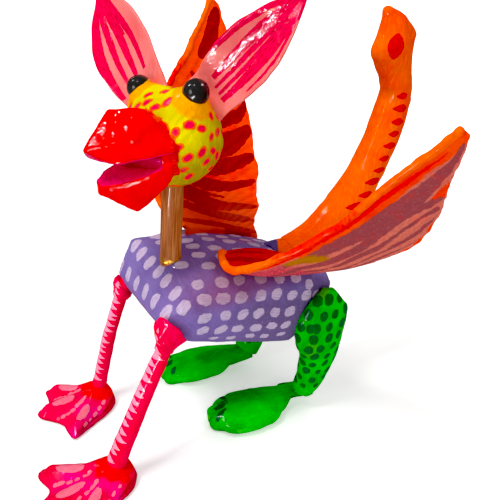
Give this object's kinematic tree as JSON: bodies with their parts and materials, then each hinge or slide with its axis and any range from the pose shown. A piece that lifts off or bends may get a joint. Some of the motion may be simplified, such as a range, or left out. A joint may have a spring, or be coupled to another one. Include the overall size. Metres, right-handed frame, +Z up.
{
  "type": "alebrije figure",
  "caption": "Painted papier-mache fantasy animal on four legs with a beaked head that turns on a neck rod, card wings, long ears and an upright plug-in tail.",
  "frame": {"origin": "on the ground plane, under the middle of the figure's bounding box", "axes": "+Z up, the figure faces -Y, its left side is +X"},
  "size_m": [0.1908, 0.1998, 0.2268],
  "materials": {
    "lilac_paint": "hand-painted lilac with pale dots, gloss varnish over paper pulp",
    "raw_wood": "unfinished softwood",
    "bronze_rod": "dowel rubbed with bronze paint",
    "raw_card": "rolled paper tube, unpainted",
    "yellow_paint": "yellow acrylic with pink spots, gloss varnish",
    "red_paint": "red acrylic, gloss varnish",
    "mouth_paint": "crimson acrylic, gloss varnish",
    "eye_paint": "black acrylic, gloss varnish",
    "ear_paint": "salmon acrylic with crimson strokes, gloss varnish",
    "wing_paint": "orange acrylic with dark red strokes over corrugated card",
    "wing_rim_paint": "orange acrylic over rolled paper",
    "tail_paint": "orange acrylic with red spots, gloss varnish",
    "leg_paint": "hot pink acrylic with pale wedges, gloss varnish",
    "collar_paint": "hot pink acrylic over paper pulp, gloss varnish",
    "front_foot_paint": "hot pink acrylic with pale dabs, gloss varnish",
    "hind_leg_paint": "green acrylic with dark green spots, gloss varnish",
    "hind_foot_paint": "green acrylic, gloss varnish"
  },
  "bodies": {
    "figure": {"body_lower_shell": "lilac_paint", "body_upper_shell": "lilac_paint", "tail_socket": "lilac_paint", "chest_block": "raw_wood", "rump_block": "raw_wood", "spine_stick": "raw_wood", "hind_peg_left": "raw_wood", "hind_peg_right": "raw_wood", "tail_peg": "raw_wood", "neck_rod": "bronze_rod", "wing_left": "wing_paint", "wing_right": "wing_paint", "wing_rim_left": "wing_rim_paint", "wing_rim_right": "wing_rim_paint", "front_leg_left": "leg_paint", "front_leg_right": "leg_paint", "leg_collar_left": "collar_paint", "leg_collar_right": "collar_paint", "front_foot_left": "front_foot_paint", "front_foot_right": "front_foot_paint", "hind_leg_left": "hind_leg_paint", "hind_leg_right": "hind_leg_paint", "hind_foot_left": "hind_foot_paint", "hind_foot_right": "hind_foot_paint"},
    "head": {"head": "yellow_paint", "head_tube": "raw_card", "upper_lip": "red_paint", "lower_lip": "red_paint", "mouth_lining": "mouth_paint", "eye_left": "eye_paint", "eye_right": "eye_paint", "ear_left": "ear_paint", "ear_right": "ear_paint"},
    "tail": {"tail": "tail_paint"}
  },
  "joints": [
    {"name": "head_turn", "type": "hinge", "parent": "figure", "child": "head", "pos_m": [0.00032, -0.02468, 0.164], "axis": [0, 0, 1], "range_deg": [-100, 50]},
    {"name": "tail_pull", "type": "slide", "parent": "figure", "child": "tail", "axis": [0, 0.8984, 0.4392], "range_m": [0, 0.012]}
  ]
}
